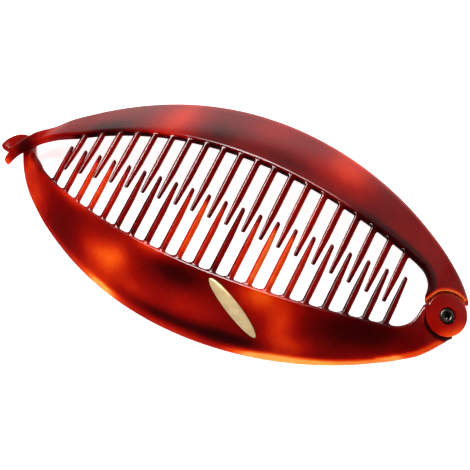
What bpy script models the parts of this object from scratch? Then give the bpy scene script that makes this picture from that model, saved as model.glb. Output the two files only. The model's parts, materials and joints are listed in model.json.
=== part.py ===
"""An oval hair clip of two arched halves, whose comb teeth interleave.

The halves turn on a rivet at the +X end. At the -X end a finger of one half lies over a hook
of the other. The clip lies with its arch up, X along its length and Y across it.
Lengths are in millimetres until a mesh is made.
"""

import math

import bmesh
import bpy
from mathutils import Matrix, Vector

MM = 0.001

# Driving sizes
TOOTH_PITCH = 4.2
TEETH_EACH_SIDE = 10  # the lower half has one tooth in the middle and this many on each side
REACH = TEETH_EACH_SIDE * TOOTH_PITCH  # from the middle to the last lower tooth
GAP = 0.3  # running clearance between pieces

# The clip's outline and arch, as powers of x / REACH
ARCH = (0.0, 0.0, -7.6, 0.0, 0.17)  # height of the tooth row
WINDOW = (13.78, 0.02, -6.31, 0.87, -0.45)  # from the centre line to a half's inner wall
OUTLINE = (27.6, 0.42, -11.05, 0.84, -0.95, -0.36)  # from the centre line to the outer edge
EDGE_DROP = (-8.8, 0.7, 5.1)  # outer edge, measured from the arch
LOWER_TIPS = (2.31, 0.13, 1.05)  # how far a lower tooth reaches past the centre line
UPPER_TIPS = (2.77, 0.48, 0.53)
LOWER_ROOTS = (-0.47, -0.1, 0.2)  # a lower tooth's root, from its even place
UPPER_ROOTS = (0.0, 0.15, -0.25)
LOWER_LEAN = (0.3, 0.05, -0.1)  # how far a lower tooth's tip stands to +X of its root
UPPER_LEAN = (-0.29, 0.24, -0.25)

# Band section
CREST_LIFT = 0.35  # the inner rim stands this far above the tooth row
LEAST_DROP = 0.7  # of the outer edge below the tooth row
CROWN = 1.25  # power of the band's fall from crest to edge
CREST_ROUND = 1.1
HINGE_CREST_ROUND = 2.4  # the upper half's inner rim is blunter beside the hinge
LIP_ROUND = 0.8
ROUND_MIDDLE = 0.3  # a rounded corner's middle point lies this share of the radius inside
WALL_INNER = 2.7
WALL_OUTER = 1.7
SKIN_STOPS = (0.33, 0.52, 0.7)  # fractions of a band's width that hold a point of its outer skin
WALL_STOPS = (0.66, 0.4)  # and of its underside
SPAN_START, SPAN_END = -REACH, REACH  # where the formulas hold
SPAN_STEPS = 30
BETWEEN = 1  # sections added between each two, on a curve through them

# Teeth
TOOTH_TOP, TOOTH_FOOT, TOOTH_DEPTH = 1.1, 1.3, 1.5
TIP_TOP, TIP_FOOT, TIP_DEPTH = 0.65, 0.7, 0.9
TIP_ROUND = 0.6
TIP_BLUNT = ((0.2, 0.75), (0.0, 0.4))  # in the rounding: distance from the end, share of the size
TAPER = 7.0  # length of the tooth's tapered end
ROOT = 1.3  # how far a tooth runs into the wall

# Hinge
HINGE_X = 53.05
LUG_RADIUS = 4.8
LOWER_LUG_RADIUS = 4.4
LUG_THICK = 2.0
LUG_TOP = -LUG_THICK - GAP  # of the upper half's lug, which lies below the other
LUG_FOOT = LUG_TOP - LUG_THICK
LUG_OFFSET = Vector((-0.25, 0.15, 0.0))  # the upper lug is a little off the rivet's axis
SWING_RADIUS = 5.6  # the upper half keeps clear of the lug inside this
UNDERCUT_RADIUS = 5.35
BORE_CLEARANCE = 0.1
TAIL_LENGTH, TAIL_WIDTH, TAIL_ANGLE = 8.2, 6.4, math.radians(112)
TAIL_OPENING = math.radians(60)  # the lug's rim ends this far to each side of its tail

# Groove round the upper lug, where the band falls away from it
MOAT_RADIUS = 5.5
MOAT_DEPTH = 0.9
MOAT_START, MOAT_END = math.radians(192), math.radians(285)
MOAT_FLARE = 1.5
MOAT_LEAST = 0.05
MOAT_STEPS = 12

# Rivet
SHANK_RADIUS = 1.25
BORE_RADIUS = 0.75
HEAD_RADIUS, HEAD_THICK = 2.2, 0.6
HEAD_CHAMFER = 0.2
ROLL_RADIUS, ROLL_HEIGHT = 1.6, 0.32
RECESS_RADIUS, RECESS_DEPTH = 1.95, 0.9
WASHER_RADIUS, WASHER_THICK = 1.75, 0.3
SEAT_GAP = 0.05  # between washer, recess floor and rolled end
ROUND_SEGMENTS = 48

# Helpers
PAST = 4.0  # a cutter runs at least this far past the solid
SPARE = 0.5  # a joined lug is made this much too thick, then trimmed

# Hook end
FINGER_THICK = 2.1
HOOK_THICK = 1.7

# Feet: the lowest points of both ends are cut flat, so that the clip stands still
FOOT_HEIGHT = -17.2

# Ornament
ORNAMENT_LENGTH, ORNAMENT_WIDTH, ORNAMENT_THICK = 15.0, 2.8, 1.0
ORNAMENT_AT = (10.9, -18.9)
ORNAMENT_TURN = math.radians(-26.6)
ORNAMENT_STEPS = 14
ORNAMENT_END_RISE = 0.4  # share of the thickness left at its ends
ORNAMENT_SECTION = (  # across its half width, and up its thickness
    (-1, 0), (-0.5, 0), (0, 0), (0.5, 0), (1, 0),
    (1, 0.5), (0.6, 0.9), (0, 1), (-0.6, 0.9), (-1, 0.5),
)


def power_sum(factors, x):
    return sum(factor * (x / REACH) ** power for power, factor in enumerate(factors))


def arch(x):
    return power_sum(ARCH, x)


def arch_tilt(x):
    """Angle by which the arch falls at x."""
    step = 0.01
    return math.atan2(arch(x - step) - arch(x + step), 2 * step)


def smooth(value, start, end):
    """0 before start, 1 after end, and an even curve between them."""
    part = min(max((value - start) / (end - start), 0.0), 1.0)
    return part * part * (3 - 2 * part)


HINGE_TILT = arch_tilt(HINGE_X)
HINGE_AT = Vector((HINGE_X, 0.0, arch(HINGE_X)))


# The ends of the bands, where the formulas stop. Each row is one section seen from above, as its
# inner edge and its outer edge. In the hook end's rows, the heights of the two edges follow.
LOWER_HINGE_END = (
    ((44.5, -7.0), (45.6, -14.3)),
    ((46.2, -5.3), (48.0, -12.6)),
    ((47.0, -3.3), (50.2, -10.9)),
    ((47.3, -1.1), (51.9, -8.8)),
    ((47.5, 0.0), (53.4, -6.6)),
    ((48.7, 1.5), (54.5, -4.8)),
    ((50.0, 2.2), (55.5, -3.5)),
)
UPPER_HINGE_END = (
    ((44.5, 6.9), (45.6, 14.3)),
    ((46.2, 5.1), (48.0, 12.6)),
    ((46.8, 3.3), (50.2, 10.9)),
    ((46.9, 1.9), (52.4, 9.1)),
    ((47.4, 1.0), (54.3, 7.2)),
    ((49.0, 1.0), (55.6, 5.6)),
)
HOOK = (
    ((-53.1, 1.6), (-54.9, -2.2), -13.9, -14.9),
    ((-54.4, 3.6), (-56.3, 0.1), -14.8, -15.1),
    ((-56.9, 4.3), (-57.6, 0.9), -15.4, -15.5),
    ((-59.4, 3.7), (-58.8, 0.2), -15.6, -15.6),
    ((-61.4, 1.7), (-59.2, -0.4), -15.7, -15.7),
    ((-62.1, -0.2), (-59.6, -1.1), -15.7, -15.7),
    ((-61.5, -1.0), (-60.4, -1.2), -15.8, -15.8),
)
LOWER_NECK = (
    ((-46.2, -4.1), (-47.3, -10.7), 0.0),
    ((-48.6, -2.3), (-50.4, -7.8), 0.2),
    ((-51.3, -0.5), (-52.9, -5.0), 1.0),
)
UPPER_NECK = (
    ((-46.8, 4.75), (-47.0, 11.3), 0.0),
    ((-49.6, 3.6), (-50.6, 8.0), 0.0),
)
FINGER = (
    ((-52.0, 1.9), (-53.6, 4.7), -11.0, -11.5),
    ((-54.0, 0.1), (-56.0, 2.1), -11.7, -12.2),
    ((-55.6, -1.5), (-57.8, -0.3), -12.2, -12.8),
    ((-56.6, -2.9), (-58.2, -2.0), -12.7, -13.1),
    ((-57.1, -4.1), (-58.4, -3.7), -13.0, -13.2),
    ((-57.6, -4.7), (-58.1, -4.6), -13.3, -13.3),
)


def clear_scene():
    for obj in list(bpy.data.objects):
        bpy.data.objects.remove(obj, do_unlink=True)


def make_material(name, color, roughness, metallic=0.0, coat=0.0):
    material = bpy.data.materials.new(name)
    material.use_nodes = True
    shader = material.node_tree.nodes["Principled BSDF"]
    shader.inputs["Base Color"].default_value = (*color, 1.0)
    shader.inputs["Roughness"].default_value = roughness
    shader.inputs["Metallic"].default_value = metallic
    shader.inputs["Coat Weight"].default_value = coat
    return material


NO_OFFSET = Vector((0.0, 0.0, 0.0))


def add_object(name, mesh_builder, base, origin=NO_OFFSET, material=None):
    """An object whose mesh was built in the clip's own millimetres."""
    bmesh.ops.recalc_face_normals(mesh_builder, faces=mesh_builder.faces)
    bmesh.ops.translate(mesh_builder, vec=-origin, verts=mesh_builder.verts)
    bmesh.ops.scale(mesh_builder, vec=Vector((MM, MM, MM)), verts=mesh_builder.verts)
    mesh = bpy.data.meshes.new(name)
    mesh_builder.to_mesh(mesh)
    mesh_builder.free()
    mesh.shade_smooth()
    mesh.set_sharp_from_angle(angle=math.radians(40))
    obj = bpy.data.objects.new(name, mesh)
    bpy.context.scene.collection.objects.link(obj)
    obj.parent = base
    obj.location = origin * MM
    if material is None:
        obj.hide_render = True
        obj.display_type = "WIRE"
    else:
        mesh.materials.append(material)
    return obj


def combine(target, joined, cutters):
    """Joins bodies to a half, then cuts it. The Exact solver leaves open edges at the teeth."""
    steps = [(helper, "UNION") for helper in joined]
    steps += [(helper, "DIFFERENCE") for helper in cutters]
    for helper, operation in steps:
        modifier = target.modifiers.new(helper.name, "BOOLEAN")
        modifier.object = helper
        modifier.operation = operation
        modifier.solver = "MANIFOLD"


def add_loft(builder, rings):
    """A closed body through rings of points that all hold the same number of points."""
    loops = [[builder.verts.new(point) for point in ring] for ring in rings]
    count = len(loops[0])
    for near, far in zip(loops, loops[1:]):
        for i in range(count):
            j = (i + 1) % count
            builder.faces.new((near[i], near[j], far[j], far[i]))
    builder.faces.new(loops[0])
    builder.faces.new(reversed(loops[-1]))


def smooth_rings(rings):
    """Adds rings between the given ones, each point on a curve through the four nearest."""
    smoothed = []
    last = len(rings) - 1
    for i in range(last):
        near = [rings[max(i - 1, 0)], rings[i], rings[i + 1], rings[min(i + 2, last)]]
        for step in range(BETWEEN + 1):
            part = step / (BETWEEN + 1)
            smoothed.append([curve_point(corners, part) for corners in zip(*near)])
    smoothed.append(rings[-1])
    return smoothed


def curve_point(corners, part):
    """A point of the Catmull-Rom curve between the second and the third of four corners."""
    before, start, end, after = (Vector(corner) for corner in corners)
    bend = 2 * before - 5 * start + 4 * end - after
    twist = 3 * start - before - 3 * end + after
    return (2 * start + (end - before) * part + bend * part**2 + twist * part**3) / 2


def add_turned(builder, profile, place, segments=ROUND_SEGMENTS):
    """A body turned about the Z axis from (radius, height) points that start and end on it."""
    rows = []
    for radius, height in profile:
        if radius == 0.0:
            rows.append([builder.verts.new(place @ Vector((0.0, 0.0, height)))])
            continue
        row = []
        for i in range(segments):
            angle = 2 * math.pi * i / segments
            point = Vector((radius * math.cos(angle), radius * math.sin(angle), height))
            row.append(builder.verts.new(place @ point))
        rows.append(row)
    for near, far in zip(rows, rows[1:]):
        for i in range(segments):
            j = (i + 1) % segments
            corners = [near[i % len(near)], near[j % len(near)]]
            corners += [far[j % len(far)], far[i % len(far)]]
            builder.faces.new(list(dict.fromkeys(corners)))


def hinge_frame(offset=NO_OFFSET):
    """Places a body made about the Z axis on the hinge, whose axis stands square to the arch."""
    turn = Matrix.Rotation(HINGE_TILT, 4, "Y")
    return Matrix.Translation(HINGE_AT) @ turn @ Matrix.Translation(offset)


def disc_profile(radius, low, high):
    return [(0.0, low), (radius, low), (radius, high), (0.0, high)]


def edge_drop(x):
    return min(power_sum(EDGE_DROP, x), -LEAST_DROP)


def skin_height(x, across):
    """Height of a band's outer skin, from its crest (across 0) to its outer edge (across 1)."""
    return arch(x) + CREST_LIFT + (edge_drop(x) - CREST_LIFT) * across**CROWN


def band_ring(inner, outer, top, wall, crest_round=CREST_ROUND):
    """One section of a band. top and wall give its height and thickness at a fraction across."""
    start = Vector(inner)
    side = Vector(outer) - start
    width = side.length
    crest = min(crest_round, width / 4)
    lip = min(LIP_ROUND, width / 5)
    points = [(0.0, crest), (ROUND_MIDDLE * crest, ROUND_MIDDLE * crest), (crest, 0.0)]
    points += [(width * part, 0.0) for part in SKIN_STOPS]
    points += [(width - lip, 0.0), (width - ROUND_MIDDLE * lip, ROUND_MIDDLE * lip), (width, lip)]
    points += [(width - ROUND_MIDDLE * lip, wall(1.0) - ROUND_MIDDLE * lip)]
    points += [(width - lip, wall(1.0))]
    points += [(width * part, wall(part)) for part in WALL_STOPS]
    points += [(crest / 2, wall(0.0)), (0.0, wall(0.0) - crest / 2)]
    ring = []
    for distance, depth in points:
        part = distance / width
        x, y = start + side * part
        ring.append((x, y, top(part, x) - depth))
    return ring


def band_wall(part):
    return WALL_INNER + (WALL_OUTER - WALL_INNER) * part


def span_rings(side):
    """The sections along the formulas, from the hook end to the hinge end."""
    rings = []
    for i in range(SPAN_STEPS + 1):
        x = SPAN_START + (SPAN_END - SPAN_START) * i / SPAN_STEPS
        inner = (x, side * power_sum(WINDOW, x))
        outer = (x, side * power_sum(OUTLINE, x))
        rings.append(band_ring(inner, outer, lambda part, at: skin_height(at, part), band_wall))
    return rings


def hinge_rings(rows, end_wall, end_crest):
    """The sections round the hinge. Wall and crest grow to end_wall and end_crest at the last."""
    rings = []
    for i, (inner, outer) in enumerate(rows):
        share = (i + 1) / len(rows)

        def top(part, at):
            return skin_height(at, part)

        def wall(part, share=share):
            return band_wall(part) + (end_wall - band_wall(part)) * share

        crest = CREST_ROUND + (end_crest - CREST_ROUND) * share
        rings.append(band_ring(inner, outer, top, wall, crest))
    return rings


def neck_rings(rows):
    """The sections that lead from the formulas to the hook end."""
    rings = []
    for inner, outer, sink in rows:

        def top(part, at, sink=sink):
            return skin_height(at, part) - sink

        rings.append(band_ring(inner, outer, top, band_wall))
    return rings


def tip_rings(rows, thick):
    rings = []
    for inner, outer, inner_top, outer_top in rows:

        def top(part, at, low=inner_top, high=outer_top):
            return low + (high - low) * part

        rings.append(band_ring(inner, outer, top, lambda part: thick))
    return rings


def tooth_ring(x, y, top, foot, depth):
    height = arch(x)
    shoulder = height - ROUND_MIDDLE * top
    return [
        (x - foot / 2, y, height - depth),
        (x + foot / 2, y, height - depth),
        (x + top / 2, y, shoulder),
        (x + top / 4, y, height),
        (x - top / 4, y, height),
        (x - top / 2, y, shoulder),
    ]


def add_tooth(builder, x, side):
    """A tooth from the wall of one half, on the given side, to just past the centre line."""
    lower = (LOWER_ROOTS, LOWER_LEAN, LOWER_TIPS)
    upper = (UPPER_ROOTS, UPPER_LEAN, UPPER_TIPS)
    shift, lean, reach = (power_sum(factors, x) for factors in (lower if side < 0 else upper))
    root = power_sum(WINDOW, x) + ROOT
    tip = -reach
    sections = [
        (root, TOOTH_TOP, TOOTH_FOOT, TOOTH_DEPTH),
        (tip + TAPER, TOOTH_TOP, TOOTH_FOOT, TOOTH_DEPTH),
        (tip + TIP_ROUND, TIP_TOP, TIP_FOOT, TIP_DEPTH),
    ]
    for distance, share in TIP_BLUNT:
        sections.append((tip + distance, share * TIP_TOP, share * TIP_FOOT, share * TIP_DEPTH))
    rings = []
    for along, top, foot, depth in sections:
        aside = shift + lean * (root - along) / (root - tip)
        rings.append(tooth_ring(x + aside, side * along, top, foot, depth))
    add_loft(builder, rings)


def tooth_places(side):
    """x of each tooth. The upper half's teeth stand in the lower half's gaps."""
    if side < 0:
        return [i * TOOTH_PITCH for i in range(-TEETH_EACH_SIDE, TEETH_EACH_SIDE + 1)]
    return [(i + 0.5) * TOOTH_PITCH for i in range(-TEETH_EACH_SIDE, TEETH_EACH_SIDE)]


def add_teeth(name, side, base):
    builder = bmesh.new()
    for x in tooth_places(side):
        add_tooth(builder, x, side)
    return add_object(name, builder, base)


def add_disc(name, base, radius, low, high, offset=NO_OFFSET):
    builder = bmesh.new()
    add_turned(builder, disc_profile(radius, low, high), hinge_frame(offset))
    return add_object(name, builder, base)


def add_foot_cutter(name, base):
    """A slab under the clip that flattens what reaches below its feet."""
    builder = bmesh.new()
    bmesh.ops.create_cube(builder, size=1.0)
    bmesh.ops.scale(builder, vec=Vector((4 * REACH, 2 * REACH, PAST)), verts=builder.verts)
    middle = Vector((0.0, 0.0, FOOT_HEIGHT - PAST / 2))
    bmesh.ops.translate(builder, vec=middle, verts=builder.verts)
    return add_object(name, builder, base)


def add_moat(base):
    """Cutter for the groove round the lug, where the band of the lower half falls away."""
    builder = bmesh.new()
    rings = []
    near = LUG_RADIUS + MOAT_LEAST
    for i in range(MOAT_STEPS + 1):
        angle = MOAT_START + (MOAT_END - MOAT_START) * i / MOAT_STEPS
        opened = smooth(i / MOAT_STEPS, -0.12, 0.43)
        width = (MOAT_RADIUS - LUG_RADIUS) * opened
        ring = []
        for radius, height in (
            (near, -MOAT_DEPTH),
            (near + width, -MOAT_DEPTH),
            (near + MOAT_FLARE * width, PAST),
            (near, PAST),
        ):
            point = Vector((radius * math.cos(angle), radius * math.sin(angle), height))
            ring.append(hinge_frame(LUG_OFFSET) @ point)
        rings.append(ring)
    add_loft(builder, rings)
    return add_object("moat_cutter", builder, base)


def make_lower_half(base):
    rings = tip_rings(reversed(HOOK), HOOK_THICK) + neck_rings(reversed(LOWER_NECK))
    rings += span_rings(-1) + hinge_rings(LOWER_HINGE_END, WALL_INNER, CREST_ROUND)
    builder = bmesh.new()
    add_loft(builder, smooth_rings(rings))
    material = make_material("lower_half_shell", (0.27, 0.02, 0.01), 0.15, coat=0.5)
    obj = add_object("lower_half", builder, base, material=material)
    lug_low, lug_high = -LUG_THICK - SPARE, SPARE
    joined = [
        add_teeth("lower_teeth", -1, base),
        add_disc("upper_lug", base, LUG_RADIUS, lug_low, lug_high, LUG_OFFSET),
    ]
    cutters = [
        add_disc("flat_cutter", base, LUG_RADIUS + GAP, 0.0, PAST, LUG_OFFSET),
        add_disc("undercut", base, UNDERCUT_RADIUS, -2 * PAST, -LUG_THICK),
        add_moat(base),
        add_disc("recess", base, RECESS_RADIUS, -RECESS_DEPTH, PAST),
        add_disc("upper_bore", base, SHANK_RADIUS + BORE_CLEARANCE, -2 * PAST, PAST),
        add_foot_cutter("hook_foot", base),
    ]
    combine(obj, joined, cutters)
    return obj


def add_lug_with_tail(base):
    """The upper half's lug and the foot that joins it to the band, as one outline."""
    outline = []
    for i in range(ROUND_SEGMENTS + 1):
        turn = 2 * (math.pi - TAIL_OPENING) * i / ROUND_SEGMENTS
        angle = TAIL_ANGLE + TAIL_OPENING + turn
        x, y = LOWER_LUG_RADIUS * math.cos(angle), LOWER_LUG_RADIUS * math.sin(angle)
        outline.append(Vector((x, y, 0.0)))
    along = Vector((math.cos(TAIL_ANGLE), math.sin(TAIL_ANGLE), 0.0))
    aside = Vector((-along.y, along.x, 0.0)) * TAIL_WIDTH / 2
    outline += [along * TAIL_LENGTH - aside, along * TAIL_LENGTH + aside]
    builder = bmesh.new()
    rings = []
    for height in (LUG_FOOT - SPARE, LUG_TOP + SPARE):
        rings.append([hinge_frame(Vector((0, 0, height))) @ point for point in outline])
    add_loft(builder, rings)
    return add_object("lug_with_tail", builder, base)


def make_upper_half(base):
    rings = tip_rings(reversed(FINGER), FINGER_THICK) + neck_rings(reversed(UPPER_NECK))
    rings += span_rings(1) + hinge_rings(UPPER_HINGE_END, -LUG_FOOT, HINGE_CREST_ROUND)
    builder = bmesh.new()
    add_loft(builder, smooth_rings(rings))
    material = make_material("upper_half_shell", (0.22, 0.02, 0.015), 0.15, coat=0.5)
    obj = add_object("upper_half", builder, base, HINGE_AT, material)
    head_seat = LUG_FOOT + HEAD_THICK + BORE_CLEARANCE
    head_room = HEAD_RADIUS + BORE_CLEARANCE
    below = LUG_FOOT - PAST
    joined = [
        add_teeth("upper_teeth", 1, base),
        add_lug_with_tail(base),
    ]
    cutters = [
        add_disc("swing_cutter", base, SWING_RADIUS, LUG_TOP, PAST),
        add_disc("foot_cutter", base, 2 * LUG_RADIUS, below, LUG_FOOT),
        add_disc("lower_bore", base, SHANK_RADIUS + BORE_CLEARANCE, below, PAST),
        add_disc("head_cutter", base, head_room, below, head_seat),
        add_foot_cutter("lug_foot", base),
    ]
    combine(obj, joined, cutters)
    return obj


def make_rivet(base):
    """A tubular rivet: head under the lower lug, hollow end rolled over the washer."""
    head_top = LUG_FOOT + HEAD_THICK
    roll_low = -RECESS_DEPTH + WASHER_THICK + 2 * SEAT_GAP
    roll_high = roll_low + ROLL_HEIGHT
    roll_edge = ROLL_HEIGHT / 3
    profile = [
        (0.0, LUG_FOOT),
        (HEAD_RADIUS - HEAD_CHAMFER, LUG_FOOT),
        (HEAD_RADIUS, LUG_FOOT + HEAD_CHAMFER),
        (HEAD_RADIUS, head_top),
        (SHANK_RADIUS, head_top),
        (SHANK_RADIUS, roll_low),
        (ROLL_RADIUS - roll_edge, roll_low),
        (ROLL_RADIUS, roll_low + roll_edge),
        (ROLL_RADIUS - roll_edge, roll_high),
        (BORE_RADIUS + 2 * roll_edge, roll_high),
        (BORE_RADIUS, roll_low + roll_edge),
        (BORE_RADIUS, -LUG_THICK),
        (0.0, -LUG_THICK - HEAD_CHAMFER),
    ]
    builder = bmesh.new()
    add_turned(builder, profile, hinge_frame())
    material = make_material("rivet_metal", (0.35, 0.33, 0.3), 0.3, metallic=1.0)
    return add_object("hinge_rivet", builder, base, HINGE_AT, material)


def make_washer(base):
    low = -RECESS_DEPTH + SEAT_GAP
    high = low + WASHER_THICK
    hole = SHANK_RADIUS + BORE_CLEARANCE
    builder = bmesh.new()
    loops = []
    for i in range(ROUND_SEGMENTS):
        turn = Matrix.Rotation(2 * math.pi * i / ROUND_SEGMENTS, 4, "Z")
        corners = ((hole, low), (WASHER_RADIUS, low), (WASHER_RADIUS, high), (hole, high))
        places = [hinge_frame() @ turn @ Vector((x, 0.0, z)) for x, z in corners]
        loops.append([builder.verts.new(place) for place in places])
    for i, near in enumerate(loops):
        far = loops[(i + 1) % len(loops)]
        for j in range(4):
            k = (j + 1) % 4
            builder.faces.new((near[j], near[k], far[k], far[j]))
    material = make_material("washer_metal", (0.3, 0.28, 0.25), 0.35, metallic=1.0)
    return add_object("rivet_washer", builder, base, HINGE_AT, material)


def lower_skin(x, y):
    """Height of the lower half's outer skin at a point of its span."""
    inner, outer = power_sum(WINDOW, x), power_sum(OUTLINE, x)
    return skin_height(x, (-y - inner) / (outer - inner))


def make_ornament(base):
    """A slender oval that lies on the lower half's band and follows its curve."""
    turn = Matrix.Rotation(ORNAMENT_TURN, 2)
    rings = []
    for i in range(1, ORNAMENT_STEPS):
        along = -math.cos(math.pi * i / ORNAMENT_STEPS)
        bulge = 1 - along * along
        half = ORNAMENT_WIDTH / 2 * math.sqrt(bulge)
        rise = ORNAMENT_THICK * (ORNAMENT_END_RISE + (1 - ORNAMENT_END_RISE) * bulge)
        ring = []
        for share, lift in ORNAMENT_SECTION:
            place = turn @ Vector((along * ORNAMENT_LENGTH / 2, share * half))
            x, y = ORNAMENT_AT[0] + place.x, ORNAMENT_AT[1] + place.y
            ring.append((x, y, lower_skin(x, y) + GAP + lift * rise))
        rings.append(ring)
    builder = bmesh.new()
    add_loft(builder, rings)
    material = make_material("ornament_metal", (0.8, 0.62, 0.3), 0.25, metallic=1.0)
    return add_object("ornament_bar", builder, base, material=material)


def stand_on_ground(base, nodes):
    """Puts the middle of the clip's footprint at the origin, with its lowest point at height 0."""
    graph = bpy.context.evaluated_depsgraph_get()
    points = []
    for node in nodes:
        shape = node.evaluated_get(graph)
        mesh = shape.to_mesh()
        points += [shape.matrix_world @ vertex.co for vertex in mesh.vertices]
        shape.to_mesh_clear()
    low = Vector([min(point[axis] for point in points) for axis in range(3)])
    high = Vector([max(point[axis] for point in points) for axis in range(3)])
    base.location = (-(low.x + high.x) / 2, -(low.y + high.y) / 2, -low.z)


def main():
    clear_scene()
    base = bpy.data.objects.new("clip_base", None)
    bpy.context.scene.collection.objects.link(base)
    nodes = [
        make_lower_half(base),
        make_upper_half(base),
        make_rivet(base),
        make_washer(base),
        make_ornament(base),
    ]
    stand_on_ground(base, nodes)


main()
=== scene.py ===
"""Looks of the oval hair clip: two polished tortoiseshell halves with interleaved comb teeth,
the tubular rivet they turn on, and a plain gold bar. Sizes are in millimetres in the clip's own
frame, whose origin is the top of the arch, until a mesh is made.
"""

import json
import math

import bmesh
import bpy
import numpy as np
from mathutils import Matrix, Vector

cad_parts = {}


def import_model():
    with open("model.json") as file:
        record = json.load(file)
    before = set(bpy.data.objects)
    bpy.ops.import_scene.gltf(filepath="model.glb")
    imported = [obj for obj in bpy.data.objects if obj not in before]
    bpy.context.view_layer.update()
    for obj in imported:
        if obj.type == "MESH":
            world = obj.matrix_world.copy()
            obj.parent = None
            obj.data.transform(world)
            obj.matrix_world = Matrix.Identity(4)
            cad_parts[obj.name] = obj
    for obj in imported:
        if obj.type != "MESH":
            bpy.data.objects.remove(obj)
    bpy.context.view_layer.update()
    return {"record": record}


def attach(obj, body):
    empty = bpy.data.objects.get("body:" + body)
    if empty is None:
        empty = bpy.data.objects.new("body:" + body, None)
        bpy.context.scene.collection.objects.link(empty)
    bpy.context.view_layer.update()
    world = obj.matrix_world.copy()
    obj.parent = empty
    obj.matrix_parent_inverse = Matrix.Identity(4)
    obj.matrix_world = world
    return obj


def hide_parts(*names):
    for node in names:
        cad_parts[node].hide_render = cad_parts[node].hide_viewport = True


MM = 0.001

# The clip, as the part defines it
TOOTH_PITCH = 4.2
TEETH_EACH_SIDE = 10
REACH = TEETH_EACH_SIDE * TOOTH_PITCH
GAP = 0.3
ARCH = (0.0, 0.0, -7.6, 0.0, 0.17)
WINDOW = (13.78, 0.02, -6.31, 0.87, -0.45)
OUTLINE = (27.6, 0.42, -11.05, 0.84, -0.95, -0.36)
EDGE_DROP = (-8.8, 0.7, 5.1)
LOWER_TIPS = (2.31, 0.13, 1.05)
UPPER_TIPS = (2.77, 0.48, 0.53)
LOWER_ROOTS = (-0.47, -0.1, 0.2)
UPPER_ROOTS = (0.0, 0.15, -0.25)
LOWER_LEAN = (0.3, 0.05, -0.1)
UPPER_LEAN = (-0.29, 0.24, -0.25)
CREST_LIFT = 0.35
LEAST_DROP = 0.7
CROWN = 1.25
CREST_ROUND = 1.0
LOWER_HINGE_CREST = 1.7
HINGE_CREST_ROUND = 2.4
UNDER_ROUND = 0.25
LIP_ROUND = 0.8
WALL_INNER, WALL_OUTER = 2.7, 1.7
SPAN_STEPS = 30
BETWEEN = 3
ARC_STEPS = 6
SKIN_STEPS = 16
UNDERSIDE_STEPS = 8

# Teeth
TOOTH_HALF, TOOTH_FOOT, TOOTH_DEPTH = 0.63, 0.7, 1.5
TIP_SIZE = 0.66  # of the tooth's section, where its rounded end starts
TIP_ROUND = 0.6
TAPER = 7.0
ROOT = 1.3
TOOTH_EMBED = 0.7  # how far a tooth reaches into its wall
FILLET = 0.75  # each side, where a tooth meets the wall
FILLET_STOPS = (1.0, 0.75, 0.5, 0.28, 0.1, 0.0)
SKEW_END = 3.0  # from the wall, where a section stands square to its tooth again
SHAFT_STEPS = 8
TIP_STOPS = (0.0, 0.35, 0.6, 0.8, 0.93, 1.0)
TIP_END = 0.5  # share of the section left at the very end
# Sections: across, in half widths, and depth. The upper half's ridge lies nearer its hook side.
UPPER_SECTION = (
    (-1.0, 0.42), (-0.95, 0.27), (-0.8, 0.15), (-0.55, 0.05), (-0.32, 0.0), (-0.1, 0.02),
    (0.3, 0.12), (0.68, 0.28), (0.9, 0.44), (1.0, 0.64),
)
LOWER_SECTION = (
    (-1.0, 0.5), (-0.93, 0.32), (-0.75, 0.2), (-0.4, 0.08), (-0.08, 0.0), (0.08, 0.0),
    (0.42, 0.14), (0.75, 0.32), (0.93, 0.48), (1.0, 0.66),
)
FOOT_SECTION = ((1.0, 0.86), (0.8, 1.0), (-0.8, 1.0), (-1.0, 0.86))

# Hinge
HINGE_X = 53.05
LUG_RADIUS = 4.8
LOWER_LUG_RADIUS = 4.4
LUG_THICK = 2.0
LUG_TOP = -LUG_THICK - GAP
LUG_FOOT = LUG_TOP - LUG_THICK
LUG_OFFSET = Vector((-0.25, 0.15, 0.0))
RIM_ROUND = 0.4
SWING_RADIUS = 5.6
UNDERCUT_RADIUS = 5.35
BORE_CLEARANCE = 0.1
TAIL_LENGTH, TAIL_WIDTH, TAIL_ANGLE = 8.2, 6.4, math.radians(112)
TAIL_OPENING = math.radians(60)
MOAT_RADIUS, MOAT_DEPTH = 5.5, 0.9
MOAT_START, MOAT_END = math.radians(192), math.radians(285)
MOAT_FLARE = 1.5
MOAT_LEAST = 0.05
MOAT_STEPS = 24
SHANK_RADIUS, BORE_RADIUS = 1.25, 0.75
HEAD_RADIUS, HEAD_THICK = 2.2, 0.6
ROLL_RADIUS, ROLL_HEIGHT = 1.6, 0.32
RECESS_RADIUS, RECESS_DEPTH = 1.95, 0.9
WASHER_RADIUS, WASHER_THICK = 1.75, 0.3
SEAT_GAP = 0.05
ROUND_SEGMENTS = 96
PAST = 4.0
SPARE = 0.5
FINGER_THICK, HOOK_THICK = 2.1, 1.7
FOOT_HEIGHT = -17.2

# Ornament
ORNAMENT_LENGTH, ORNAMENT_WIDTH, ORNAMENT_THICK = 15.0, 2.8, 1.0
ORNAMENT_AT = (10.9, -18.9)
ORNAMENT_TURN = math.radians(-26.6)
ORNAMENT_STEPS = 60
ORNAMENT_END_RISE = 0.4
ORNAMENT_SIDE = 0.3  # share of the height at which the dome starts
ORNAMENT_ACROSS = 16

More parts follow.
